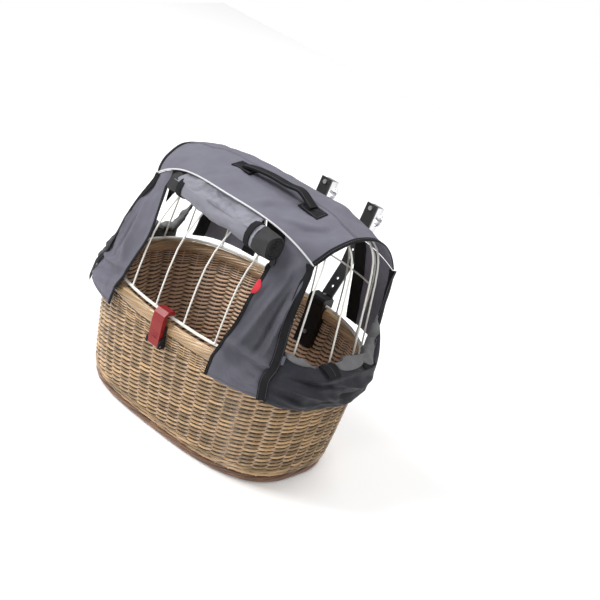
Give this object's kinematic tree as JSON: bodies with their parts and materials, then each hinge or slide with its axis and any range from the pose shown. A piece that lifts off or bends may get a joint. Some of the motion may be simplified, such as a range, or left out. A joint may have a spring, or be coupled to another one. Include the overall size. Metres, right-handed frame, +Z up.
{
  "type": "dog bicycle basket",
  "caption": "Willow dog carrier basket for a bicycle handlebar with a hinged wire cage, slate cloth hood, rolled-up front window, red front latch and handlebar clamps",
  "frame": {"origin": "plan centre of the flat foot's underside", "axes": "+Z up, front faces -Y, +X to the right seen from the front"},
  "size_m": [0.5922, 0.4832, 0.5273],
  "materials": {
    "willow": "natural woven willow, honey to tan, darker inside",
    "willow_dark": "smooth reddish-brown willow cane",
    "white_wire": "steel wire, white coated, glossy",
    "black_plastic": "black moulded plastic",
    "black_steel": "flat steel, black powder coat",
    "steel": "zinc-plated steel fasteners",
    "alloy": "bright cast aluminium",
    "red_plastic": "red moulded plastic, half gloss",
    "cloth": "slate-grey coated polyester, matt",
    "silver_cloth": "silver-grey sheen cloth",
    "black_webbing": "black woven webbing",
    "red_cloth": "red woven tape, left bare"
  },
  "bodies": {
    "basket": {"basket_floor": "willow", "foot_border": "willow_dark", "basket_wall": "willow", "rim_border": "willow", "latch_housing": "black_plastic", "latch_pin": "steel", "latch_screw": "steel", "latch_backing_plate": "steel", "hinge_block_left": "black_plastic", "hinge_block_right": "black_plastic", "hinge_cap_left": "black_plastic", "hinge_cap_right": "black_plastic", "hanger_arm_left": "black_steel", "hanger_arm_right": "black_steel", "hinge_cap_screw_left": "steel", "hinge_cap_screw_right": "steel", "wall_bolt_left": "steel", "wall_bolt_right": "steel", "wall_nut_left": "steel", "wall_nut_right": "steel", "clamp_bolt_lower_left": "steel", "clamp_bolt_lower_right": "steel", "clamp_bolt_upper_left": "steel", "clamp_bolt_upper_right": "steel", "bar_clamp_front_left": "alloy", "bar_clamp_front_right": "alloy", "bar_clamp_back_left": "alloy", "bar_clamp_back_right": "alloy"},
    "lid": {"cage_rail": "white_wire", "cage_hoop_1": "white_wire", "cage_hoop_2": "white_wire", "cage_hoop_3": "white_wire", "cage_hoop_4": "white_wire", "cage_hoop_5": "white_wire", "cage_hoop_6": "white_wire", "cage_arch_1": "white_wire", "cage_arch_2": "white_wire", "cage_arch_3": "white_wire", "cage_arch_4": "white_wire", "back_cross_wire": "white_wire", "zip_pull": "black_plastic", "hood_roof": "cloth", "hood_front_corner_left": "cloth", "hood_front_corner_right": "cloth", "hood_back_corner_left": "cloth", "hood_back_corner_right": "cloth", "side_flap_left": "cloth", "side_flap_right": "cloth", "roof_piping": "silver_cloth", "window_roll": "silver_cloth", "corner_strap_left": "black_webbing", "corner_strap_right": "black_webbing", "roll_strap_left": "black_webbing", "roll_strap_right": "black_webbing", "handle_tab_left": "black_webbing", "handle_tab_right": "black_webbing", "carry_handle": "black_webbing", "side_label": "red_cloth"},
    "lever": {"latch_lever": "red_plastic"}
  },
  "joints": [
    {"name": "lid_hinge", "type": "hinge", "parent": "basket", "child": "lid", "pos_m": [0, 0.1705, 0.245], "axis": [-1, 0, 0], "range_deg": [0, 28]},
    {"name": "latch_hinge", "type": "hinge", "parent": "basket", "child": "lever", "pos_m": [0, -0.1978, 0.193], "axis": [1, 0, 0], "range_deg": [0, 84]}
  ],
  "couplings": [
    {"joint": "latch_hinge", "follows": "lid_hinge", "ratio": 3}
  ]
}
